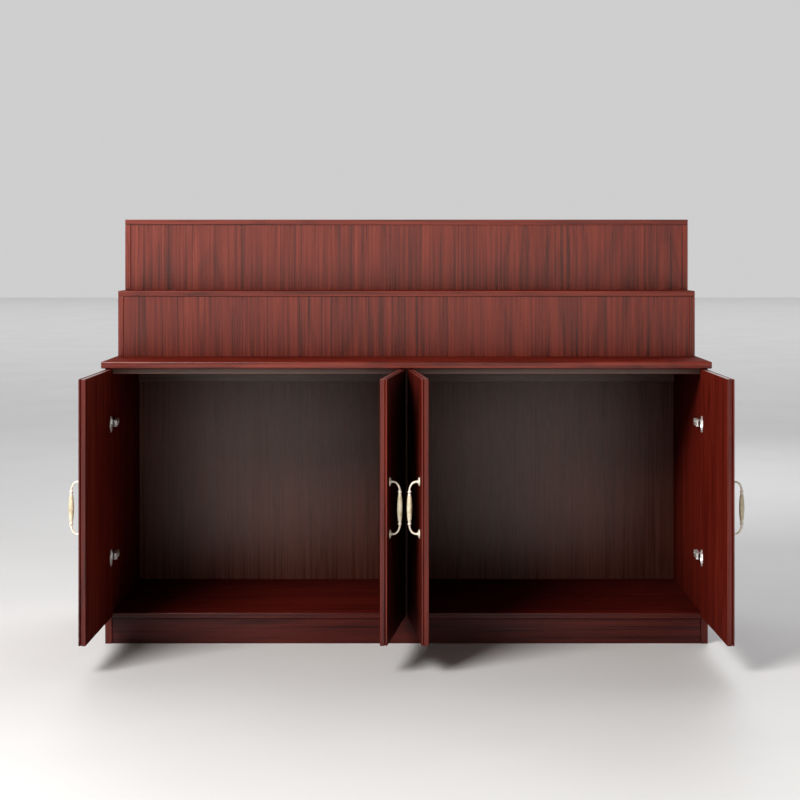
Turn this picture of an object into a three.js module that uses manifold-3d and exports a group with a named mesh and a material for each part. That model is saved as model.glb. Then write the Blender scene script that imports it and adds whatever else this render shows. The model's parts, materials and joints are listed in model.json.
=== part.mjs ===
// A household altar cabinet: a low cabinet of two bays behind two pairs of hinged doors,
// with two full-width steps on its top.  It is built with all four doors standing open.
//
// Millimetres.  X runs to the right, Y to the back and Z up.  Inside the group, Y = 0 is the
// front plane of the cabinet's boards and Z = 0 is the floor.
import * as THREE from 'three';
import { RoundedBoxGeometry } from 'three/addons/geometries/RoundedBoxGeometry.js';
import { mergeVertices } from 'three/addons/utils/BufferGeometryUtils.js';
import Module from 'manifold-3d';

const wasm = await Module();
wasm.setup();

// ---------------------------------------------------------------- driving dimensions

const TOP_WIDTH = 1600;         // the countertop, the widest board
const TOP_SIDE_OVERHANG = 8;    // countertop past the sides
const TOP_FRONT_OVERHANG = 20;  // countertop past the front plane, over the closed doors
const TOP_HEIGHT = 742;         // upper face of the countertop
const CARCASS_DEPTH = 550;      // front plane to the rear edge of the sides
const BOARD = 18;               // sides, partition, countertop and doors
const THIN_BOARD = 15;          // steps, shelf, rails and plinth
const BACK_BOARD = 5;           // rear panels of the bays
const BACK_RECESS = 12;         // rear panels in from the rear edge of the sides
const PLINTH_HEIGHT = 66;       // floor to the underside of the shelf
const PLINTH_RECESS = 3;        // plinth behind the front plane
const RAIL_WIDTH = 70;          // rails under the countertop
const EDGE_ROUND = 1;           // eased edges of the boards that show
const TOP_EDGE_ROUND = 2.5;     // softer edges of the countertop

const LOWER_STEP_BACK = 234;    // front of the lower step behind the front plane
const LOWER_STEP_RISE = 180;
const UPPER_STEP_BACK = 370;    // front of the upper step behind the front plane
const UPPER_STEP_RISE = 198;
const STEP_FACE_RECESS = 2;     // face board of a step behind the edge of its tread

const DOOR_WIDTH = 392.5;
const DOOR_BOTTOM = 74;
const DOOR_TOP = 722;
const DOOR_END_GAP = 2;         // hinge edge of a door to the side's outer face or the centre line
const DOOR_FACE_GAP = 2;        // closed door in front of the front plane
const DOOR_EDGE_ROUND = 1.5;
const DOOR_GROOVE = 3.8;        // width of the V groove round a door's edges
const DOOR_GROOVE_DEPTH = 2.6;
const DOOR_GROOVE_INSET = 5.3;  // middle of the groove behind the door's outer face
const FLUTES = 5;               // upright flutes in the outer face of a door
const FLUTE_PITCH = 64;
const FLUTE_END = 66;           // flutes from the ends of the door
const FLUTE_DEPTH = 2.8;
const FLUTE_RADIUS = 6.2;       // of the round cutter that leaves a flute

const PIVOT_IN = 8;             // hinge axis inside the side's outer face or the centre line
const PIVOT_FRONT = 15;         // hinge axis in front of the front plane
const HINGE_FROM_TOP = 142;     // hinges from the ends of the door
const HINGE_FROM_BOTTOM = 157;
const CUP_FROM_EDGE = 24.5;     // centre of the hinge cup from the door's edge
const CUP_HOLE_RADIUS = 17.5;
const CUP_HOLE_DEPTH = 11.5;
const CUP_SIDES = 16;
const ARM_BACK = 60;            // rear end of a hinge arm behind the front plane
const ARM_THICKNESS = 11;
const ARM_WIDTH = 16;
const ARM_BEVEL = 1.5;
const FIT_GAP = 0.3;            // clearance where one piece rests on or in another

const HANDLE_FROM_EDGE = 45;    // handle from the free edge of the door
const HANDLE_HEIGHT = 404;      // middle of the handle above the floor
const HANDLE_PITCH = 128;       // between the two posts
const HANDLE_REACH = 25.5;      // axis of the grip in front of the door
const GRIP_HALF = 31;           // half the length of the ceramic grip
const GRIP_END_RADIUS = 5;
const GRIP_MIDDLE_RADIUS = 6.6;

const ORIGIN_BACK = 74;         // the group's front plane in front of the part's origin

// ---------------------------------------------------------------- derived sizes

const SIDE_X = TOP_WIDTH / 2 - TOP_SIDE_OVERHANG;   // outer face of the sides
const BAY_X = SIDE_X - BOARD;                       // inner face of the sides
const TOP_UNDERSIDE = TOP_HEIGHT - BOARD;
const SHELF_TOP = PLINTH_HEIGHT + THIN_BOARD;
const BACK_Y = CARCASS_DEPTH - BACK_RECESS - BACK_BOARD;
const LOWER_STEP_TOP = TOP_HEIGHT + LOWER_STEP_RISE;
const DOOR_INNER = PIVOT_FRONT - DOOR_FACE_GAP;     // door's faces and edges from the hinge axis
const DOOR_OUTER = DOOR_INNER - BOARD;
const HINGE_EDGE = DOOR_END_GAP - PIVOT_IN;
const FREE_EDGE = HINGE_EDGE + DOOR_WIDTH;
const CUP_U = HINGE_EDGE + CUP_FROM_EDGE;
const HINGE_HEIGHTS = { upper: DOOR_TOP - HINGE_FROM_TOP, lower: DOOR_BOTTOM + HINGE_FROM_BOTTOM };

// ---------------------------------------------------------------- materials

const finish = (color, roughness, metalness = 0) =>
  new THREE.MeshStandardMaterial({ color, roughness, metalness });

const MATERIALS = {
  cabinet: finish('#6a2620', 0.45),
  countertop: finish('#74281f', 0.38),
  step: finish('#662420', 0.45),
  door: finish('#6e2620', 0.42),
  back: finish('#4a2a22', 0.6),
  steel: finish('#c9c6c2', 0.3, 1),
  brass: finish('#e8d6b8', 0.25, 1),
  ceramic: finish('#e9dcc6', 0.2),
};

const cabinet = new THREE.Group();
cabinet.position.y = -ORIGIN_BACK;

function addMesh(parent, name, geometry, material) {
  const mesh = new THREE.Mesh(geometry, material);
  mesh.name = name;
  parent.add(mesh);
  return mesh;
}

// ---------------------------------------------------------------- boards

// A board between two corners, [low, high] along each axis.  Its edges are eased, or left
// square where `round` is 0.
function boardGeometry(x, y, z, round) {
  const size = [x[1] - x[0], y[1] - y[0], z[1] - z[0]];
  const geometry = round ? new RoundedBoxGeometry(...size, 1, round) : new THREE.BoxGeometry(...size);
  return geometry.translate((x[0] + x[1]) / 2, (y[0] + y[1]) / 2, (z[0] + z[1]) / 2);
}

function addBoard(name, x, y, z, material, round = EDGE_ROUND) {
  addMesh(cabinet, name, boardGeometry(x, y, z, round), material);
}

function buildCarcass() {
  const depth = [0, CARCASS_DEPTH];
  const inner = [0, BACK_Y];
  const standing = [0, TOP_UNDERSIDE];
  addBoard('left_side', [-SIDE_X, -BAY_X], depth, standing, MATERIALS.cabinet);
  addBoard('right_side', [BAY_X, SIDE_X], depth, standing, MATERIALS.cabinet);
  addBoard('bottom_shelf', [-BAY_X, BAY_X], inner, [PLINTH_HEIGHT, SHELF_TOP], MATERIALS.cabinet);
  addBoard('centre_partition', [-BOARD / 2, BOARD / 2], inner, [SHELF_TOP, TOP_UNDERSIDE],
    MATERIALS.cabinet, 0);

  const foot = [0, PLINTH_HEIGHT];
  const plinthBack = PLINTH_RECESS + THIN_BOARD;
  const rearPlinthFront = BACK_Y - THIN_BOARD;
  addBoard('front_plinth', [-BAY_X, BAY_X], [PLINTH_RECESS, plinthBack], foot, MATERIALS.cabinet);
  addBoard('rear_plinth', [-BAY_X, BAY_X], [rearPlinthFront, BACK_Y], foot, MATERIALS.cabinet, 0);
  addBoard('centre_support', [-THIN_BOARD / 2, THIN_BOARD / 2], [plinthBack, rearPlinthFront], foot,
    MATERIALS.cabinet, 0);

  addBoard('countertop', [-TOP_WIDTH / 2, TOP_WIDTH / 2], [-TOP_FRONT_OVERHANG, CARCASS_DEPTH],
    [TOP_UNDERSIDE, TOP_HEIGHT], MATERIALS.countertop, TOP_EDGE_ROUND);
}

// What each bay has of its own: a flat rail in front, an upright rail behind and a rear panel.
function buildBay(side, sign) {
  const across = (near, far) => [sign * near, sign * far].sort((a, b) => a - b);
  const bay = across(BOARD / 2, BAY_X);
  addBoard(`${side}_front_rail`, bay, [0, RAIL_WIDTH], [TOP_UNDERSIDE - THIN_BOARD, TOP_UNDERSIDE],
    MATERIALS.cabinet);
  addBoard(`${side}_rear_rail`, bay, [BACK_Y - THIN_BOARD, BACK_Y],
    [TOP_UNDERSIDE - RAIL_WIDTH, TOP_UNDERSIDE], MATERIALS.cabinet, 0);
  addBoard(`${side}_back_panel`, across(0.5, BAY_X - FIT_GAP), [BACK_Y, BACK_Y + BACK_BOARD],
    [PLINTH_HEIGHT / 2, TOP_UNDERSIDE], MATERIALS.back, 0);
}

// A step is a closed box of five boards; its tread lies over the other four.
function buildStep(step, front, bottom, rise) {
  const treadBottom = bottom + rise - THIN_BOARD;
  const inside = SIDE_X - THIN_BOARD;
  const upright = [bottom, treadBottom];
  const depth = [front, CARCASS_DEPTH];
  const face = front + STEP_FACE_RECESS;
  addBoard(`${step}_step_left_end`, [-SIDE_X, -inside], depth, upright, MATERIALS.step);
  addBoard(`${step}_step_right_end`, [inside, SIDE_X], depth, upright, MATERIALS.step);
  addBoard(`${step}_step_face`, [-inside, inside], [face, face + THIN_BOARD], upright,
    MATERIALS.step, 0);
  addBoard(`${step}_step_back`, [-inside, inside], [CARCASS_DEPTH - THIN_BOARD, CARCASS_DEPTH],
    upright, MATERIALS.step, 0);
  addBoard(`${step}_step_tread`, [-SIDE_X, SIDE_X], depth, [treadBottom, bottom + rise],
    MATERIALS.step);
}

// ---------------------------------------------------------------- joining and cutting

function solidOf(geometry) {
  const bare = new THREE.BufferGeometry();
  bare.setAttribute('position', geometry.getAttribute('position'));
  if (geometry.index) bare.setIndex(geometry.index);
  const merged = mergeVertices(bare, 1e-4);
  return new wasm.Manifold(new wasm.Mesh({
    numProp: 3,
    vertProperties: merged.attributes.position.array,
    triVerts: new Uint32Array(merged.index.array),
  }));
}

function geometryOf(solid) {
  const { vertProperties, triVerts } = solid.getMesh();
  const indexed = new THREE.BufferGeometry();
  indexed.setAttribute('position', new THREE.BufferAttribute(vertProperties, 3));
  indexed.setIndex(new THREE.BufferAttribute(triVerts, 1));
  const geometry = indexed.toNonIndexed();
  geometry.computeVertexNormals();
  return geometry;
}

// ---------------------------------------------------------------- doors

// What the cutter takes out for one flute: a capsule of eight sides, one of them flat towards +Y,
// that lies along Z and sinks FLUTE_DEPTH into the door's outer face.
function fluteCutter(u) {
  const sides = 8;
  const length = DOOR_TOP - DOOR_BOTTOM - 2 * FLUTE_END;
  const toFlat = FLUTE_RADIUS * Math.cos(Math.PI / sides);
  const capsule = new THREE.CapsuleGeometry(FLUTE_RADIUS, length - 2 * FLUTE_RADIUS, 2, sides);
  capsule.rotateY(Math.PI / sides);
  capsule.rotateX(Math.PI / 2);
  return capsule.translate(u, DOOR_OUTER + FLUTE_DEPTH - toFlat, (DOOR_TOP + DOOR_BOTTOM) / 2);
}

// What the cutter takes out for the V groove of one edge: a bar of four sides that lies along Z
// over `range`, half of it outside the edge at `u`.
function grooveCutter(u, range) {
  const bar = new THREE.CylinderGeometry(1, 1, range[1] - range[0] + 2, 4);
  bar.rotateX(Math.PI / 2);
  bar.scale(DOOR_GROOVE_DEPTH, DOOR_GROOVE / 2, 1);
  return bar.translate(u, DOOR_OUTER + DOOR_GROOVE_INSET, (range[0] + range[1]) / 2);
}

// A door in its own frame: U along X from the hinge axis to the free edge, the outer face
// towards -Y.  It has a groove round its edges, flutes in its outer face and two holes for the
// hinge cups.
function doorGeometry() {
  const across = [HINGE_EDGE, FREE_EDGE];
  const through = [DOOR_OUTER, DOOR_INNER];
  const up = [DOOR_BOTTOM, DOOR_TOP];
  let leaf = solidOf(boardGeometry(across, through, up, DOOR_EDGE_ROUND));
  for (const u of across) leaf = leaf.subtract(solidOf(grooveCutter(u, up)));
  for (const z of up) {
    const lying = grooveCutter(-z, across).rotateY(Math.PI / 2);
    leaf = leaf.subtract(solidOf(lying));
  }
  for (const height of Object.values(HINGE_HEIGHTS)) {
    const hole = new THREE.CylinderGeometry(CUP_HOLE_RADIUS, CUP_HOLE_RADIUS, 2 * CUP_HOLE_DEPTH,
      CUP_SIDES);
    leaf = leaf.subtract(solidOf(hole.translate(CUP_U, DOOR_INNER, height)));
  }
  const middle = (HINGE_EDGE + FREE_EDGE) / 2;
  for (let flute = 0; flute < FLUTES; flute += 1) {
    const u = middle + (flute - (FLUTES - 1) / 2) * FLUTE_PITCH;
    leaf = leaf.subtract(solidOf(fluteCutter(u)));
  }
  return geometryOf(leaf);
}

// ---------------------------------------------------------------- concealed hinges

// The steel cup let into the door: a hollow round pot with a rim that has two short ears.
function hingeCupGeometry() {
  const potRadius = 17;
  const wall = 1.2;
  const plate = 1.2;
  const rimRadius = 18.6;
  const earHalfHeight = 21;
  const earHalfWidth = 9;
  const corner = 2;
  const seat = DOOR_INNER + FIT_GAP;
  const bottom = DOOR_INNER - CUP_HOLE_DEPTH + FIT_GAP;
  const pot = new THREE.LatheGeometry([
    new THREE.Vector2(0, bottom),
    new THREE.Vector2(potRadius - 2, bottom),
    new THREE.Vector2(potRadius, bottom + 2),
    new THREE.Vector2(potRadius, seat),
    new THREE.Vector2(rimRadius, seat),
    new THREE.Vector2(rimRadius, seat + plate),
    new THREE.Vector2(potRadius - wall, seat + plate),
    new THREE.Vector2(potRadius - wall, bottom + 2),
    new THREE.Vector2(0, bottom + wall),
  ], CUP_SIDES);
  const ears = new THREE.Shape([
    new THREE.Vector2(-earHalfWidth, -earHalfHeight + corner),
    new THREE.Vector2(-earHalfWidth + corner, -earHalfHeight),
    new THREE.Vector2(earHalfWidth - corner, -earHalfHeight),
    new THREE.Vector2(earHalfWidth, -earHalfHeight + corner),
    new THREE.Vector2(earHalfWidth, earHalfHeight - corner),
    new THREE.Vector2(earHalfWidth - corner, earHalfHeight),
    new THREE.Vector2(-earHalfWidth + corner, earHalfHeight),
    new THREE.Vector2(-earHalfWidth, earHalfHeight - corner),
  ]);
  const earPlate = new THREE.ExtrudeGeometry(ears, { depth: plate, bevelEnabled: false });
  earPlate.rotateX(Math.PI / 2);
  earPlate.translate(0, seat + plate, 0);
  const mouth = new THREE.CylinderGeometry(potRadius - 0.5, potRadius - 0.5, 4 * plate, CUP_SIDES);
  mouth.translate(0, seat, 0);
  return geometryOf(solidOf(earPlate).subtract(solidOf(mouth)).add(solidOf(pot)));
}

// The arm with its mounting bar, on a board whose face stands `face` inside the door's boundary.
// Its nose reaches into the cup when the door is shut and stays clear of it as the door turns.
function hingeArmGeometry(face) {
  const foot = face + FIT_GAP;
  const lid = face + ARM_THICKNESS;
  const crank = BOARD - face;      // a half-overlay arm on the partition bends out by this much
  const nose = [PIVOT_IN + 16, PIVOT_IN + 24];
  const noseTip = -10;
  const profile = new THREE.Shape([
    new THREE.Vector2(foot, ARM_BACK),
    new THREE.Vector2(foot, 2.4 + 1.3 * crank),
    new THREE.Vector2(BOARD + 0.6, 2),
    new THREE.Vector2(nose[0] - 3, -4.5),
    new THREE.Vector2(nose[0], noseTip),
    new THREE.Vector2(nose[1], noseTip),
    new THREE.Vector2(nose[1], 4),
    new THREE.Vector2(lid, 16 + crank),
    new THREE.Vector2(lid, ARM_BACK),
  ]);
  const arm = new THREE.ExtrudeGeometry(profile, {
    depth: ARM_WIDTH - 2 * ARM_BEVEL,
    bevelThickness: ARM_BEVEL,
    bevelSize: 0,
    bevelSegments: 1,
  });
  return arm.translate(0, 0, -ARM_WIDTH / 2 + ARM_BEVEL);
}

// ---------------------------------------------------------------- handles

// One post of a handle, in the door's frame with Z from the middle of the handle: a round rose
// against the door, a stem that bends towards the grip, and a collar with a short neck.
function postGeometry() {
  const sides = 8;
  const stemRadius = 2.7;
  const half = HANDLE_PITCH / 2;
  const collarTop = 42;
  const face = DOOR_OUTER - FIT_GAP;

  const rose = new THREE.LatheGeometry([
    new THREE.Vector2(0, 0),
    new THREE.Vector2(11, 0),
    new THREE.Vector2(11.4, 1.4),
    new THREE.Vector2(9, 3.4),
    new THREE.Vector2(4, 5),
    new THREE.Vector2(0, 5),
  ], 12);
  rose.rotateX(Math.PI);
  rose.translate(0, face, half);

  const route = new THREE.CurvePath();
  const bendStart = face - 11;
  const gripAxis = DOOR_OUTER - HANDLE_REACH;
  route.add(new THREE.LineCurve3(
    new THREE.Vector3(0, face - 3, half),
    new THREE.Vector3(0, bendStart, half)));
  route.add(new THREE.CubicBezierCurve3(
    new THREE.Vector3(0, bendStart, half),
    new THREE.Vector3(0, gripAxis + 4, half),
    new THREE.Vector3(0, gripAxis, half - 9),
    new THREE.Vector3(0, gripAxis, collarTop - 1)));
  const section = new THREE.Shape();
  section.absarc(0, 0, stemRadius, 0, 2 * Math.PI);
  const stem = new THREE.ExtrudeGeometry(section, {
    steps: 8,
    curveSegments: sides / 2,
    extrudePath: route,
  });

  const collar = new THREE.LatheGeometry([
    new THREE.Vector2(0, GRIP_HALF + FIT_GAP),
    new THREE.Vector2(4.2, GRIP_HALF + FIT_GAP),
    new THREE.Vector2(3.7, 36.5),
    new THREE.Vector2(4.7, 38),
    new THREE.Vector2(4.7, 40.5),
    new THREE.Vector2(3.2, collarTop),
    new THREE.Vector2(0, collarTop),
  ], sides);
  collar.rotateX(Math.PI / 2);
  collar.translate(0, gripAxis, 0);
  return geometryOf(solidOf(rose).add(solidOf(stem)).add(solidOf(collar)));
}

// The grip is a turned ceramic barrel, thickest at its middle.
function gripGeometry() {
  const rings = 6;
  const profile = [new THREE.Vector2(0, -GRIP_HALF)];
  for (let ring = 0; ring <= rings; ring += 1) {
    const along = -1 + 2 * ring / rings;
    const swell = (GRIP_MIDDLE_RADIUS - GRIP_END_RADIUS) * Math.cos(along * Math.PI / 2);
    profile.push(new THREE.Vector2(GRIP_END_RADIUS + swell, along * GRIP_HALF));
  }
  profile.push(new THREE.Vector2(0, GRIP_HALF));
  const grip = new THREE.LatheGeometry(profile, 14);
  grip.rotateX(Math.PI / 2);
  return grip.translate(0, DOOR_OUTER - HANDLE_REACH, 0);
}

// ---------------------------------------------------------------- each door with its fittings

// `boundary` is the X that the hinge edge starts from, `toward` the way the shut door runs from
// it, `panelFace` how far inside the boundary its board's face stands, and `open` the angle in
// degrees at which the door stands.
const DOORS = [
  { name: 'outer_left', boundary: -SIDE_X, toward: 1, panelFace: BOARD, open: 91 },
  { name: 'inner_left', boundary: 0, toward: -1, panelFace: BOARD / 2, open: 83.5 },
  { name: 'inner_right', boundary: 0, toward: 1, panelFace: BOARD / 2, open: 85 },
  { name: 'outer_right', boundary: SIDE_X, toward: -1, panelFace: BOARD, open: 91 },
];

function buildDoor({ name, boundary, toward, panelFace, open }) {
  // The hanging side: X from the boundary into the bay, mirrored for a door hung on the right.
  const hanging = new THREE.Group();
  hanging.position.x = boundary;
  hanging.scale.x = toward;
  cabinet.add(hanging);

  const leaf = new THREE.Group();
  leaf.position.set(PIVOT_IN, -PIVOT_FRONT, 0);
  leaf.rotation.z = THREE.MathUtils.degToRad(-open);
  hanging.add(leaf);

  addMesh(leaf, `${name}_door`, doorGeometry(), MATERIALS.door);
  for (const [place, height] of Object.entries(HINGE_HEIGHTS)) {
    const cup = addMesh(leaf, `${name}_${place}_hinge_cup`, hingeCupGeometry(), MATERIALS.steel);
    cup.position.set(CUP_U, 0, height);
    const arm = addMesh(hanging, `${name}_${place}_hinge_arm`, hingeArmGeometry(panelFace),
      MATERIALS.steel);
    arm.position.z = height;
  }

  const handle = new THREE.Group();
  handle.position.set(FREE_EDGE - HANDLE_FROM_EDGE, 0, HANDLE_HEIGHT);
  leaf.add(handle);
  addMesh(handle, `${name}_handle_upper_post`, postGeometry(), MATERIALS.brass);
  const lowerPost = addMesh(handle, `${name}_handle_lower_post`, postGeometry(), MATERIALS.brass);
  lowerPost.scale.z = -1;
  addMesh(handle, `${name}_handle_grip`, gripGeometry(), MATERIALS.ceramic);
}

// ---------------------------------------------------------------- the cabinet

buildCarcass();
buildBay('left', -1);
buildBay('right', 1);
buildStep('lower', LOWER_STEP_BACK, TOP_HEIGHT, LOWER_STEP_RISE);
buildStep('upper', UPPER_STEP_BACK, LOWER_STEP_TOP, UPPER_STEP_RISE);
DOORS.forEach(buildDoor);

export default cabinet;
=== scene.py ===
"""The looks of the household altar cabinet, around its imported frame.

Metres, in the frame's axes: X to the right, Y to the back, Z up, floor at Z = 0.  The boards are
the frame's own solids with softened edges and a wood-grain finish.  The hinges and the handles
are modelled here in full and stand for the frame's plainer ones.
"""
import json
import math

import bmesh
import bpy
from mathutils import Matrix, Vector


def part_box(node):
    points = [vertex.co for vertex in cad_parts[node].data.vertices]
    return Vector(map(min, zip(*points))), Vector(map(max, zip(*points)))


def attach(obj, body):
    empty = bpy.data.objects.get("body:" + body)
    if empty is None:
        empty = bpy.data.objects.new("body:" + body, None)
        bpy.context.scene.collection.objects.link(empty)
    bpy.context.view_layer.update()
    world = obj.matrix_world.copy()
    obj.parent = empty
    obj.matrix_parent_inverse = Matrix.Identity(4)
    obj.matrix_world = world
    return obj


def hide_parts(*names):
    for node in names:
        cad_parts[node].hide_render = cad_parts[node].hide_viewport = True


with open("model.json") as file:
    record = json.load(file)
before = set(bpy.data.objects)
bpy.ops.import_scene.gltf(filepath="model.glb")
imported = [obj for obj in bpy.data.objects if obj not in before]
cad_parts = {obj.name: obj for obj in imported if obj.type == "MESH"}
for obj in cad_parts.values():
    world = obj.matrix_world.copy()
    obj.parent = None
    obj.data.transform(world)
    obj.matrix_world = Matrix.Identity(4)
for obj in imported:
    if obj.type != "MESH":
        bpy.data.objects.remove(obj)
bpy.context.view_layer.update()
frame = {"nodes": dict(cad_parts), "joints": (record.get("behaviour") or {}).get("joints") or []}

MM = 0.001
DOORS = ("outer_left", "inner_left", "inner_right", "outer_right")

CAMERA_DISTANCE = 5.16          # in front of the countertop's front edge
CAMERA_HEIGHT = 1.04
CAMERA_LENS = 88.7              # millimetres, on a sensor 36 wide
CAMERA_SHIFT = (-0.0081, -0.19)
FLOOR_HALF = 36


# ------------------------------------------------------------------ camera, floor and light

def make_camera():
    """A level camera in front of the middle of the cabinet, a little over the countertop."""
    data = bpy.data.cameras.new("camera")
    data.sensor_width = 36
    data.lens = CAMERA_LENS
    data.shift_x, data.shift_y = CAMERA_SHIFT
    camera = bpy.data.objects.new("camera", data)
    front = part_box("countertop")[0].y
    camera.location = (0, front - CAMERA_DISTANCE, CAMERA_HEIGHT)
    camera.rotation_euler = (math.radians(90), 0, 0)
    bpy.context.scene.collection.objects.link(camera)
    bpy.context.scene.camera = camera


def make_floor():
    """A wide, plain, pale floor."""
    half = FLOOR_HALF
    mesh = bpy.data.meshes.new("floor")
    corners = [(-half, -half, 0), (half, -half, 0), (half, half, 0), (-half, half, 0)]
    mesh.from_pydata(corners, [], [(0, 1, 2, 3)])
    floor = bpy.data.objects.new("floor", mesh)
    bpy.context.scene.collection.objects.link(floor)
    mesh.materials.append(floor_material())


def add_area_light(name, place, aim, size, power, color=(1, 1, 1)):
    data = bpy.data.lights.new(name, "AREA")
    data.shape = "RECTANGLE"
    data.size, data.size_y = size
    data.energy = power
    data.color = color
    light = bpy.data.objects.new(name, data)
    light.location = place
    light.rotation_euler = (Vector(aim) - Vector(place)).to_track_quat("-Z", "Y").to_euler()
    light.visible_camera = False
    bpy.context.scene.collection.objects.link(light)


def make_light():
    """A studio with a pale far wall and a dim near one.  A soft box stands high to the left of
    the front, a broad dim card behind the camera, a box behind the cabinet, and one over the
    far floor."""
    world = bpy.data.worlds.new("studio")
    bpy.context.scene.world = world
    world.use_nodes = True
    tree = world.node_tree
    direction = tree.nodes.new("ShaderNodeTexCoord")
    split = tree.nodes.new("ShaderNodeSeparateXYZ")
    walls = tree.nodes.new("ShaderNodeMapRange")
    tree.links.new(direction.outputs["Generated"], split.inputs[0])
    tree.links.new(split.outputs["Y"], walls.inputs["Value"])
    walls.interpolation_type = "SMOOTHSTEP"
    for name, value in (("From Min", 0.1), ("From Max", 0.95),
                        ("To Min", 0.05), ("To Max", 0.62)):
        walls.inputs[name].default_value = value
    background = tree.nodes["Background"]
    background.inputs["Color"].default_value = (1.0, 1.0, 1.0, 1)
    tree.links.new(walls.outputs["Result"], background.inputs["Strength"])
    top = (0, 0, 0.8)
    add_area_light("key", (-2.4, -3.4, 3.4), top, (2.2, 1.8), 285, (1.0, 0.97, 0.93))
    add_area_light("card", (-0.2, -6.6, 1.6), top, (5.0, 3.1), 68, (1.0, 0.91, 0.79))
    add_area_light("behind", (1.5, 4.5, 3.2), top, (3.0, 1.5), 50)
    add_area_light("far_floor", (0, 24, 12), (0, 24, 0), (50, 36), 4600)
    bpy.context.scene.view_settings.view_transform = "Standard"


# ------------------------------------------------------------------ materials

class Shader:
    """One material and the nodes put into it."""

    def __init__(self, name):
        self.material = bpy.data.materials.new(name)
        self.material.use_nodes = True
        self.tree = self.material.node_tree
        self.surface = self.tree.nodes["Principled BSDF"]

    def put(self, node, name, value):
        """Links `value` to an input, or sets it there.  `name` has _ for spaces, or is a
        number."""
        socket = node.inputs[name if isinstance(name, int) else name.replace("_", " ")]
        if isinstance(value, bpy.types.NodeSocket):
            self.tree.links.new(value, socket)
        else:
            socket.default_value = value

    def node(self, kind, settings=None, **inputs):
        made = self.tree.nodes.new("ShaderNode" + kind)
        for name, value in (settings or {}).items():
            setattr(made, name, value)
        for name, value in inputs.items():
            self.put(made, name, value)
        return made

    def math(self, operation, *values):
        made = self.node("Math", {"operation": operation})
        for place, value in enumerate(values):
            self.put(made, place, value)
        return made.outputs[0]

    def weighted_sum(self, *terms):
        """The sum of value times weight over `terms`."""
        total = 0.0
        for value, weight in terms:
            total = self.math("MULTIPLY_ADD", value, weight, total)
        return total

    def noise(self, vector, scale, detail=2.0, roughness=0.5, distortion=0.0):
        return self.node("TexNoise", None, Vector=vector, Scale=scale, Detail=detail,
                         Roughness=roughness, Distortion=distortion).outputs["Fac"]

    def ramp(self, value, stops):
        """A colour ramp; `stops` are pairs of a place and a linear colour."""
        made = self.node("ValToRGB", None, Fac=value)
        elements = made.color_ramp.elements
        while len(elements) < len(stops):
            elements.new(0.5)
        for element, (place, color) in zip(elements, stops):
            element.position = place
            element.color = (*color, 1)
        return made.outputs["Color"]

    def span(self, value, low, high, to_low, to_high):
        """`value` carried from the range low..high to to_low..to_high, held at both ends."""
        made = self.node("MapRange", None, Value=value, From_Min=low, From_Max=high,
                         To_Min=to_low, To_Max=to_high)
        return made.outputs["Result"]

    def finish(self, **inputs):
        for name, value in inputs.items():
            self.put(self.surface, name, value)
        return self.material


def floor_material():
    shader = Shader("floor")
    place = shader.node("TexCoord").outputs["Object"]
    cloud = shader.noise(place, 1.5)
    color = shader.ramp(cloud, [(0.3, (0.72, 0.72, 0.73)), (0.7, (0.76, 0.76, 0.77))])
    return shader.finish(Base_Color=color, Roughness=0.55)


# Colours of the printed grain, dark to light, as linear light.
RED_WOOD = ((0.057, 0.0026, 0.0012), (0.149, 0.0130, 0.0060), (0.242, 0.0310, 0.0160))
# A darker copy of the red wood: painted shade for the doors, the sides, the partition and the
# support in the bays.
HALF_SHADED_WOOD = ((0.046, 0.0018, 0.0008), (0.112, 0.0080, 0.0034), (0.182, 0.0190, 0.0090))
# A still darker copy: painted shade for the bottom shelf and the plinth, low under the countertop.
DEEP_SHADED_WOOD = ((0.032, 0.0016, 0.0009), (0.073, 0.0050, 0.0028), (0.115, 0.0105, 0.0060))
# The back panel's own greyer tones; on the rail they are painted shade, the shadow under the
# countertop's overhang.
BACK_AND_RAIL_SHADE_WOOD = ((0.064, 0.0130, 0.0075), (0.096, 0.0245, 0.0155), (0.128, 0.0370, 0.0245))
UPRIGHT, ACROSS = 2, 0

# The painted shade in the corners and deep in the bays, which an Ambient Occlusion node drives.
CORNER_REACH = 0.45             # how far from a corner its shade begins
CORNER_SHADE = 0.32             # the share of the colour left deep in a corner
CORNER_GLOSS = 0.25             # the same for the gloss
BROAD_FACE_GLOSS = 0.04
BROAD_FACE_ROUGHNESS = 0.5      # added to a matter, broad face
GRAIN_DARKER, GRAIN_LIGHTER = 0.27, 0.33    # from the middle of the figure to its ends
BROAD_WEIGHT, BANDS_WEIGHT, STREAKS_WEIGHT, HAIRS_WEIGHT = 0.30, 0.35, 0.95, 0.85


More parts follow.
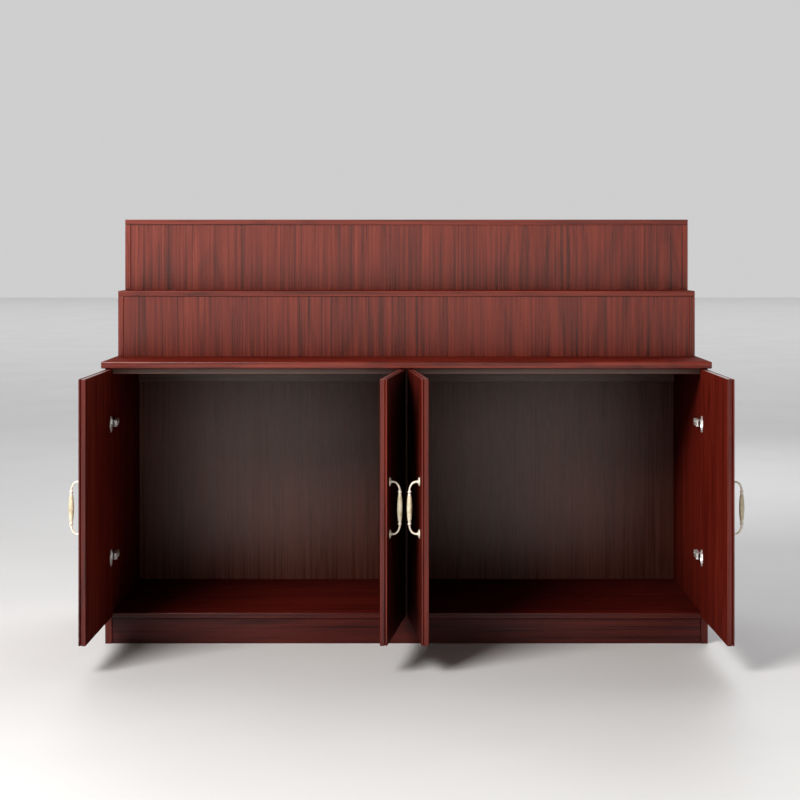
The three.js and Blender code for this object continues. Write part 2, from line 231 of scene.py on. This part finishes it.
def wood_material(name, grain, seed, tones, roughness, gloss, dull=None):
    """Satin wood-grain foil.  `grain` is the axis that the grain runs along, 0, 1 or 2, and
    `dull` is the axis that its matter, broad faces look along, where the edges are glossier."""
    shader = Shader(name)
    coordinates = shader.node("TexCoord").outputs
    place = coordinates["Object"]

    def stretched(along):
        scale = [1.0, 1.0, 1.0]
        scale[grain] = along
        shift = (seed * 1.37, seed * 2.71, seed * 0.93)
        return shader.node("Mapping", None, Vector=place, Location=shift,
                           Scale=scale).outputs["Vector"]

    # Growth rings: level lines of a stretched field, which close into long arches.
    field = shader.noise(stretched(0.16), 2.6, detail=2, roughness=0.45, distortion=0.4)
    rings = shader.math("SINE", shader.math("MULTIPLY", field, 150.0))
    late_wood = shader.span(rings, 0.2, 1.0, 0.0, 1.0)
    broad = shader.noise(stretched(0.12), 8, detail=2)
    bands = shader.noise(stretched(0.035), 34, detail=2, roughness=0.6, distortion=0.3)
    streaks = shader.noise(stretched(0.016), 120, detail=2, roughness=0.6, distortion=0.2)
    hairs = shader.noise(stretched(0.010), 310, detail=2)
    pores = shader.span(shader.noise(stretched(0.03), 1100, detail=1), 0.56, 0.70, 0.0, 1.0)
    value = shader.weighted_sum(
        (late_wood, -0.10), (broad, BROAD_WEIGHT), (bands, BANDS_WEIGHT),
        (streaks, STREAKS_WEIGHT), (hairs, HAIRS_WEIGHT), (pores, -0.14))
    middle = 0.5 * (BROAD_WEIGHT + BANDS_WEIGHT + STREAKS_WEIGHT + HAIRS_WEIGHT) - 0.055
    in_range = shader.span(value, middle - GRAIN_DARKER, middle + GRAIN_LIGHTER, 0.0, 1.0)
    figure = shader.ramp(in_range, [(0.0, tones[0]), (0.45, tones[1]), (1.0, tones[2])])

    # Painted shade: an Ambient Occlusion node darkens the colour in the corners and deep in the
    # bays, and fades the gloss there too.
    open_sky = shader.node("AmbientOcclusion", {"samples": 6},
                           Distance=CORNER_REACH).outputs["AO"]
    shade = shader.span(open_sky, 0.15, 0.85, CORNER_SHADE, 1.0)
    gloss = shader.span(open_sky, 0.35, 0.68, CORNER_GLOSS * gloss, gloss)
    color = shader.node("VectorMath", {"operation": "SCALE"}, Vector=figure, Scale=shade)

    roughness = shader.span(streaks, 0.3, 0.7, roughness - 0.04, roughness + 0.05)
    if dull is not None:
        facing = shader.node("SeparateXYZ", None, Vector=coordinates["Normal"]).outputs[dull]
        broad_face = shader.span(shader.math("ABSOLUTE", facing), 0.5, 0.8, 0.0, 1.0)
        change = shader.math("SUBTRACT", BROAD_FACE_GLOSS, gloss)
        gloss = shader.math("MULTIPLY_ADD", broad_face, change, gloss)
        roughness = shader.math("MULTIPLY_ADD", broad_face, BROAD_FACE_ROUGHNESS, roughness)
    relief = shader.weighted_sum((hairs, 1.0), (pores, -0.7))
    bump = shader.node("Bump", None, Height=relief, Strength=0.10, Distance=0.0003)
    return shader.finish(
        Base_Color=color.outputs["Vector"],
        Roughness=roughness,
        Specular_IOR_Level=gloss,
        Normal=bump.outputs["Normal"],
    )


def metal_material(name, color, dull, roughness, metallic=1.0):
    """Cast and polished metal with fine scratches, and a duller film in patches.  Below 1,
    `metallic` stands for a pale lacquer over it."""
    shader = Shader(name)
    place = shader.node("TexCoord").outputs["Object"]
    film = shader.noise(place, 90, detail=4, roughness=0.6)
    fine = shader.noise(place, 2400, detail=2)
    bump = shader.node("Bump", None, Height=fine, Strength=0.06, Distance=0.0002)
    return shader.finish(
        Base_Color=shader.ramp(film, [(0.35, color), (0.72, dull)]),
        Metallic=metallic,
        Roughness=shader.span(film, 0.3, 0.7, roughness - 0.05, roughness + 0.08),
        Normal=bump.outputs["Normal"],
    )


def ceramic_material(name):
    """Ivory glaze: cloudy and a little speckled, with the faint pull of the brush."""
    shader = Shader(name)
    place = shader.node("TexCoord").outputs["Object"]
    cloud = shader.noise(place, 60, detail=3)
    specks = shader.span(shader.noise(place, 1300, detail=2), 0.66, 0.72, 0.0, 0.35)
    value = shader.weighted_sum((cloud, 1.0), (specks, -0.5))
    pull = shader.noise(place, 160, detail=2)
    bump = shader.node("Bump", None, Height=pull, Strength=0.12, Distance=0.0006)
    return shader.finish(
        Base_Color=shader.ramp(value, [(0.25, (0.50, 0.40, 0.24)), (0.45, (0.74, 0.66, 0.46)),
                                       (0.62, (0.82, 0.75, 0.57))]),
        Roughness=shader.span(cloud, 0.3, 0.7, 0.14, 0.24),
        Coat_Weight=0.5,
        Coat_Roughness=0.06,
        Normal=bump.outputs["Normal"],
    )


# ------------------------------------------------------------------ mesh building

def place_piece(name, mesh, matrix, material, slot, body, *nodes):
    """Puts a mesh that was built in its own millimetre frame into the part, where it rides on
    `body` and stands for the frame's `nodes`."""
    if matrix.determinant() < 0:
        bmesh.ops.reverse_faces(mesh, faces=mesh.faces)
    mesh.transform(matrix)
    data = bpy.data.meshes.new(name)
    mesh.to_mesh(data)
    mesh.free()
    data.materials.append(material)
    piece = bpy.data.objects.new(name, data)
    bpy.context.scene.collection.objects.link(piece)
    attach(piece, body)
    if nodes:
        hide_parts(*nodes)
    return piece


def add_rings(mesh, rings, closed=False):
    """Skins a row of rings, lists of points with the same number in each, that run
    counter-clockwise about the way the row goes.  The ends are capped unless the row is closed."""
    rows = [[mesh.verts.new(point) for point in ring] for ring in rings]
    count = len(rows[0])
    for below, above in zip(rows, rows[1:] + rows[:1] if closed else rows[1:]):
        for side in range(count):
            after = (side + 1) % count
            face = mesh.faces.new((below[side], below[after], above[after], above[side]))
            face.smooth = True
    if not closed:
        mesh.faces.new(rows[0][::-1])
        mesh.faces.new(rows[-1])


def circle(center, across, aside, radius, sides):
    """Points round `center` in the plane of two unit vectors."""
    turns = (2 * math.pi * side / sides for side in range(sides))
    return [center + radius * (math.cos(turn) * across + math.sin(turn) * aside)
            for turn in turns]


def add_turned(mesh, profile, foot, axis, sides=32):
    """A lathe form: `profile` has (radius, height) pairs from its foot, at `foot`, up `axis`."""
    axis = Vector(axis).normalized()
    across = axis.orthogonal().normalized()
    aside = axis.cross(across)
    add_rings(mesh, [circle(Vector(foot) + height * axis, across, aside, radius, sides)
                     for radius, height in profile])


def add_sweep(mesh, route, radii, side_vector, sides=20):
    """A round bar along a plane route of points; `side_vector` is square to that plane."""
    aside = Vector(side_vector).normalized()
    rings = []
    for place, point in enumerate(route):
        ahead = route[min(place + 1, len(route) - 1)] - route[max(place - 1, 0)]
        across = aside.cross(ahead.normalized())
        rings.append(circle(point, across, aside, radii[place], sides))
    add_rings(mesh, rings)


def add_plate(mesh, outline, low, high, to_space, ease=0.25):
    """A flat plate: a counter-clockwise outline of (a, b) pairs between two heights, with its
    edges eased.  `to_space` turns (a, b, height) into a point."""
    middle = Vector((sum(a for a, b in outline), sum(b for a, b in outline))) / len(outline)

    def ring(height, inset):
        shrunk = []
        for a, b in outline:
            away = Vector((a, b)) - middle
            away *= 1 - inset / max(away.length, inset)
            shrunk.append(to_space(middle.x + away.x, middle.y + away.y, height))
        return shrunk

    add_rings(mesh, [ring(low, ease), ring(low + ease, 0), ring(high - ease, 0), ring(high, ease)])
    bmesh.ops.recalc_face_normals(mesh, faces=mesh.faces)


def smooth_steps(points, per_step=5):
    """A Catmull-Rom curve through the points."""
    points = [Vector(point) for point in points]
    ends = [2 * points[0] - points[1], *points, 2 * points[-1] - points[-2]]
    curve = []
    for a, b, c, d in zip(ends, ends[1:], ends[2:], ends[3:]):
        for step in range(per_step):
            t = step / per_step
            curve.append(0.5 * (2 * b + (c - a) * t + (2 * a - 5 * b + 4 * c - d) * t ** 2
                                + (3 * b - a - 3 * c + d) * t ** 3))
    return curve + [points[-1]]


# ------------------------------------------------------------------ where the doors are

class Hanging:
    """One door: its body, and the frames that its fittings are built in, in millimetres.

    `leaf_frame` has X from the hinge axis to the door's free edge, Y from the outer face to the
    inner one, and Z up from the floor.  `bay_frame` has X into the bay from the hinge axis and Y
    to the back.  Both start at the axis."""

    def __init__(self, name):
        self.name = name
        self.body = f"{name}_leaf"
        joint = next(each for each in frame["joints"] if each["child"] == self.body)
        toward = -joint["axis"][2]
        opened = math.radians(-joint["range_deg"][0])
        start = Matrix.Translation((joint["pos_m"][0], joint["pos_m"][1], 0))
        into_bay = Matrix.Diagonal((toward, 1, 1, 1))
        millimetres = Matrix.Diagonal((MM, MM, MM, 1))
        self.bay_frame = start @ into_bay @ millimetres
        self.leaf_frame = start @ into_bay @ Matrix.Rotation(-opened, 4, "Z") @ millimetres

    def middle(self, node, matrix):
        """The middle of a frame's node, in one of the two frames."""
        low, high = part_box(f"{self.name}_{node}")
        return matrix.inverted() @ ((low + high) / 2)

    def leaf_range(self, node):
        """Lowest and highest corner of a node in the leaf's frame."""
        world = frame["nodes"][f"{self.name}_{node}"]
        inverse = self.leaf_frame.inverted()
        points = [inverse @ (world.matrix_world @ vertex.co) for vertex in world.data.vertices]
        return [Vector(pick(point[axis] for point in points) for axis in range(3))
                for pick in (min, max)]


# ------------------------------------------------------------------ handles

HANDLE_HALF = 64        # from the handle's middle to the middle of a rose
HANDLE_REACH = 25.5     # axis of the grip in front of the door's face
GRIP_HALF = 31
STEM_RADIUS = 2.7


def add_handle(door, metal, ceramic):
    """A bow handle: two roses with bent stems and beads, and a turned ceramic grip."""
    low, _ = door.leaf_range("door")
    grip = door.middle("handle_grip", door.leaf_frame)
    face = Vector((grip.x, low.y, grip.z))
    out, across = Vector((0, -1, 0)), Vector((1, 0, 0))

    for place, up in (("upper", Vector((0, 0, 1))), ("lower", Vector((0, 0, -1)))):
        post = bmesh.new()
        seat = face + HANDLE_HALF * up
        add_turned(post, [(10.7, 0.1), (11.2, 0.5), (11.4, 1.1), (11.2, 1.7), (10.6, 2.1),
                          (9.8, 2.2), (9.4, 2.5), (9.2, 3.0), (8.6, 3.5), (7.2, 4.0),
                          (5.6, 4.4), (4.4, 4.9), (3.6, 5.7), (3.1, 6.8), (2.8, 8.0)],
                   seat, out, 48)
        begin, bend, finish = seat + 6 * out, seat + 8.5 * out, face + HANDLE_REACH * out
        corner_a = bend + 0.56 * (HANDLE_REACH - 8.5) * out
        end = finish + 41 * up
        corner_b = end + 0.58 * (HANDLE_HALF - 41) * up
        route = [begin, begin + 1.2 * out]
        for step in range(25):
            t = step / 24
            route.append((1 - t) ** 3 * bend + 3 * (1 - t) ** 2 * t * corner_a
                         + 3 * (1 - t) * t ** 2 * corner_b + t ** 3 * end)
        radii = [STEM_RADIUS - 0.25 * math.sin(math.pi * min(1, max(0, place_on / 26)))
                 for place_on in range(len(route))]
        add_sweep(post, route, radii, across)
        bead = [(4.3, 31.1), (4.4, 31.4), (4.3, 31.9), (3.8, 32.8), (3.25, 34.0), (3.0, 35.0),
                (3.1, 35.8), (3.7, 36.2), (4.3, 36.7), (4.7, 37.4), (4.85, 38.4), (4.8, 39.4),
                (4.6, 40.4), (4.2, 41.0), (3.5, 41.4), (3.1, 41.8), (2.9, 42.4), (2.7, 43.6)]
        add_turned(post, bead, finish, up, 32)
        place_piece(f"{door.name}_{place}_post", post, door.leaf_frame, metal, "handle_metal",
                    door.body, f"{door.name}_handle_{place}_post")

    barrel = bmesh.new()
    profile = [(0.0, -1.0), (3.7, -1.0), (4.2, -0.992), (4.4, -0.975)]
    for step in range(1, 24):
        along = -0.975 + 1.95 * step / 24
        profile.append((4.4 + 2.2 * math.cos(along / 0.975 * math.pi / 2) ** 0.85, along))
    profile += [(radius, -along) for radius, along in profile[3::-1]]
    add_turned(barrel, [(max(radius, 0.02), along * GRIP_HALF) for radius, along in profile],
               face + HANDLE_REACH * out, (0, 0, 1), 40)
    place_piece(f"{door.name}_grip", barrel, door.leaf_frame, ceramic, "grip_ceramic",
                door.body, f"{door.name}_handle_grip")


# ------------------------------------------------------------------ concealed hinges

def rounded_outline(corners, radius, steps=5):
    """The polygon with its corners rounded."""
    outline = []
    for before, corner, after in zip(corners[-1:] + corners[:-1], corners,
                                     corners[1:] + corners[:1]):
        before, corner, after = Vector(before), Vector(corner), Vector(after)
        reach = min(radius, 0.45 * (before - corner).length, 0.45 * (after - corner).length)
        start = corner + reach * (before - corner).normalized()
        end = corner + reach * (after - corner).normalized()
        for step in range(steps + 1):
            t = step / steps
            outline.append(tuple((1 - t) ** 2 * start + 2 * t * (1 - t) * corner + t ** 2 * end))
    return outline


def add_screw(mesh, seat, axis, radius=3.6, height=1.5):
    """A pan head with a cross recess, drawn as a raised rim of four lobes round the cross."""
    axis = Vector(axis).normalized()
    across = axis.orthogonal().normalized()
    aside = axis.cross(across)
    seat = Vector(seat)
    sides = 32

    def recessed(share, lift):
        ring = []
        for side in range(sides):
            turn = 2 * math.pi * side / sides
            cross = max(0.0, math.cos(4 * turn)) ** 4
            reach = share * radius * (0.34 + 0.66 * cross) if share < 0.6 else share * radius
            ring.append(seat + lift * axis
                        + reach * (math.cos(turn) * across + math.sin(turn) * aside))
        return ring

    add_rings(mesh, [recessed(0.97, 0), recessed(1, 0.25 * height), recessed(0.95, 0.7 * height),
                     recessed(0.8, 0.95 * height), recessed(0.66, height),
                     recessed(0.58, height), recessed(0.5, 0.35 * height),
                     recessed(0.1, 0.25 * height)])


def add_cup(door, place, steel):
    """The hinge cup pressed into the door: a hollow pot with a rim and two short ears."""
    _, high = door.leaf_range("door")
    cup_low, cup_high = door.leaf_range(f"{place}_hinge_cup")
    center = (cup_low + cup_high) / 2
    seat = high.y                       # the door's inner face
    pot, wall, plate, rim = 17.0, 1.1, 1.2, 18.5
    depth = seat - cup_low.y

    cup = bmesh.new()
    foot = Vector((center.x, seat, center.z))
    inward = Vector((0, 1, 0))
    outside = [(pot - 2.2, -depth), (pot - 0.8, -depth + 0.5), (pot - 0.1, -depth + 1.6),
               (pot, -depth + 2.6), (pot, 0.1), (rim - 0.1, 0.1), (rim, 0.35),
               (rim - 0.15, plate), (rim - 0.5, plate + 0.25), (pot - wall + 0.5, plate + 0.25),
               (pot - wall, plate - 0.1), (pot - wall, -depth + 3.2),
               (pot - wall - 0.6, -depth + wall + 0.9), (pot - wall - 2.0, -depth + wall),
               (0.3, -depth + wall)]
    add_turned(cup, outside, foot, inward, 56)
    reach = (cup_high.z - cup_low.z) / 2
    ear = rounded_outline([(9, 16), (9, reach), (-9, reach), (-9, 16)], 2.5)
    for sign in (1, -1):
        shape = [(sign * a, sign * b) for a, b in ear]
        add_plate(cup, shape, 0.1, plate, lambda a, b, h: foot + Vector((a, h, b)), 0.2)
    # Two pivot pins across the pot, beyond the nose of the arm when the door is shut.
    for across, deep in ((10.6, -4.4), (11.0, -8.2)):
        add_turned(cup, [(1.4, -12.4), (1.5, -12.2), (1.5, 12.2), (1.4, 12.4)],
                   foot + Vector((across, deep, 0)), (0, 0, 1), 16)
    place_piece(f"{door.name}_{place}_cup", cup, door.leaf_frame, steel, "hinge_steel",
                door.body, f"{door.name}_{place}_hinge_cup")


def add_arm(door, place, steel, screw_steel):
    """The arm on the side or the partition: a mounting bar, a channel that cranks towards the
    cup, and its screws."""
    low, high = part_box(f"{door.name}_{place}_hinge_arm")
    inverse = door.bay_frame.inverted()
    ends = [inverse @ low, inverse @ high]
    x0, x1 = sorted(end.x for end in ends)
    y0, y1 = sorted(end.y for end in ends)
    z = (ends[0].z + ends[1].z) / 2
    half = abs(ends[0].z - ends[1].z) / 2
    lid = x0 + 10.7                     # the channel's outer face, over the board's own
    nose = x1 - 8

    def side_on(a, b, height):
        return Vector((a, b, z + height))

    arm = bmesh.new()
    bar = rounded_outline([(y1 - 1, -half + 1.2), (y1 - 1, half - 1.2), (y0 + 27, half - 1.2),
                           (y0 + 27, -half + 1.2)], 3)
    add_plate(arm, bar, x0, x0 + 4.2, lambda a, b, h: Vector((h, a, z + b)), 0.4)
    wall = rounded_outline([(x0 + 1.2, y1), (x0 + 1.2, y0 + 28), (nose - 4.6, y0 + 11.5),
                            (nose - 1, y0), (x1, y0), (x1, y0 + 12.5), (lid, y0 + 28),
                            (lid, y1)], 2.2)
    for sign in (1, -1):
        edges = sorted((sign * half, sign * (half - 1.3)))
        add_plate(arm, wall, *edges, side_on, 0.2)
    spine = [(lid - 0.75, y1 - 1), (lid - 0.75, y0 + 29), (x1 - 0.75, y0 + 12.5),
             (x1 - 0.75, y0 + 3)]
    spine = [(point.x, point.y) for point in smooth_steps([(*p, 0) for p in spine], 6)]
    thick = 0.7
    strip = []
    for place_on, (a, b) in enumerate(spine):
        ahead = (Vector(spine[min(place_on + 1, len(spine) - 1)])
                 - Vector(spine[max(place_on - 1, 0)]))
        normal = Vector((ahead.y, -ahead.x)).normalized() * thick
        strip.append([Vector((a - normal.x, b - normal.y, z - half + 0.4)),
                      Vector((a + normal.x, b + normal.y, z - half + 0.4)),
                      Vector((a + normal.x, b + normal.y, z + half - 0.4)),
                      Vector((a - normal.x, b - normal.y, z + half - 0.4))])
    add_rings(arm, strip)
    for a, b in ((nose + 3.6, y0 + 4.2), (nose + 1.2, y0 + 10.5)):
        add_turned(arm, [(1.9, -half), (2.1, -half + 0.2), (2.1, half - 0.2), (1.9, half)],
                   side_on(a, b, 0), (0, 0, 1), 20)
    bmesh.ops.recalc_face_normals(arm, faces=arm.faces)
    place_piece(f"{door.name}_{place}_arm", arm, door.bay_frame, steel, "hinge_steel",
                "carcass", f"{door.name}_{place}_hinge_arm")

    screws = bmesh.new()
    add_screw(screws, side_on(lid - 0.2, y1 - 12, 0), (1, 0, 0), 4.2, 1.4)
    add_screw(screws, side_on(lid - 0.2, y1 - 31, 0), (1, 0, 0), 3.0, 1.2)
    place_piece(f"{door.name}_{place}_arm_screws", screws, door.bay_frame, screw_steel,
                "hinge_steel", "carcass")


# ------------------------------------------------------------------ boards and doors

EDGE_SOFTNESS = 0.4             # millimetres
LYING = ("bottom_shelf", "front_plinth", "rear_plinth", "countertop", "rail", "tread")

# Tones, roughness, gloss and matter faces of the boards, by the words in their names.  The darker
# tones of the shelf, plinth, sides, partition, support, doors and rail are painted shade.
FINISHES = (
    (("back_panel",), (BACK_AND_RAIL_SHADE_WOOD, 0.28, 0.48)),
    (("shelf",), (DEEP_SHADED_WOOD, 0.30, 0.45, 2)),
    (("plinth",), (DEEP_SHADED_WOOD, 0.30, 0.40)),
    (("side", "partition"), (HALF_SHADED_WOOD, 0.32, 0.45, 0)),
    # The rail's dark tones are painted shade, the shadow of the countertop's overhang.
    (("rail",), (BACK_AND_RAIL_SHADE_WOOD, 0.30, 0.80)),
    (("support",), (HALF_SHADED_WOOD, 0.40, 0.05)),
    (("countertop", "tread"), (RED_WOOD, 0.30, 0.45, 2)),
    (("door",), (HALF_SHADED_WOOD, 0.30, 0.45, 0)),
    (("",), (RED_WOOD, 0.30, 0.50)),
)


def soften(piece):
    """Rounds the sharp edges of a frame's solid."""
    weld = piece.modifiers.new("joined", "WELD")
    weld.merge_threshold = 0.01 * MM
    bevel = piece.modifiers.new("softened", "BEVEL")
    bevel.width = EDGE_SOFTNESS * MM
    bevel.segments = 3
    bevel.limit_method = "ANGLE"
    bevel.angle_limit = math.radians(30)
    bevel.use_clamp_overlap = True


def dress_boards():
    """Gives every board its own stretch of grain, and softens its edges."""
    boards = [name for name in frame["nodes"] if "hinge" not in name and "handle" not in name]
    for seed, name in enumerate(sorted(boards)):
        board = frame["nodes"][name]
        grain = ACROSS if any(word in name for word in LYING) else UPRIGHT
        finish = next(finish for words, finish in FINISHES
                      if any(word in name for word in words))
        board.data.materials.clear()
        board.data.materials.append(
            wood_material(f"{name}_wood", grain, seed + 1, *finish))
        soften(board)


make_camera()
make_floor()
make_light()
dress_boards()
brass = metal_material("pale_brass", (1.0, 0.94, 0.82), (0.95, 0.85, 0.68), 0.26, 0.25)
steel = metal_material("plated_steel", (0.95, 0.93, 0.92), (0.82, 0.80, 0.79), 0.28, 0.5)
screw_steel = metal_material("screw_steel", (0.66, 0.65, 0.63), (0.45, 0.44, 0.43), 0.34)
glaze = ceramic_material("ivory_glaze")
for name in DOORS:
    door = Hanging(name)
    add_handle(door, brass, glaze)
    for place in ("upper", "lower"):
        add_cup(door, place, steel)
        add_arm(door, place, steel, screw_steel)
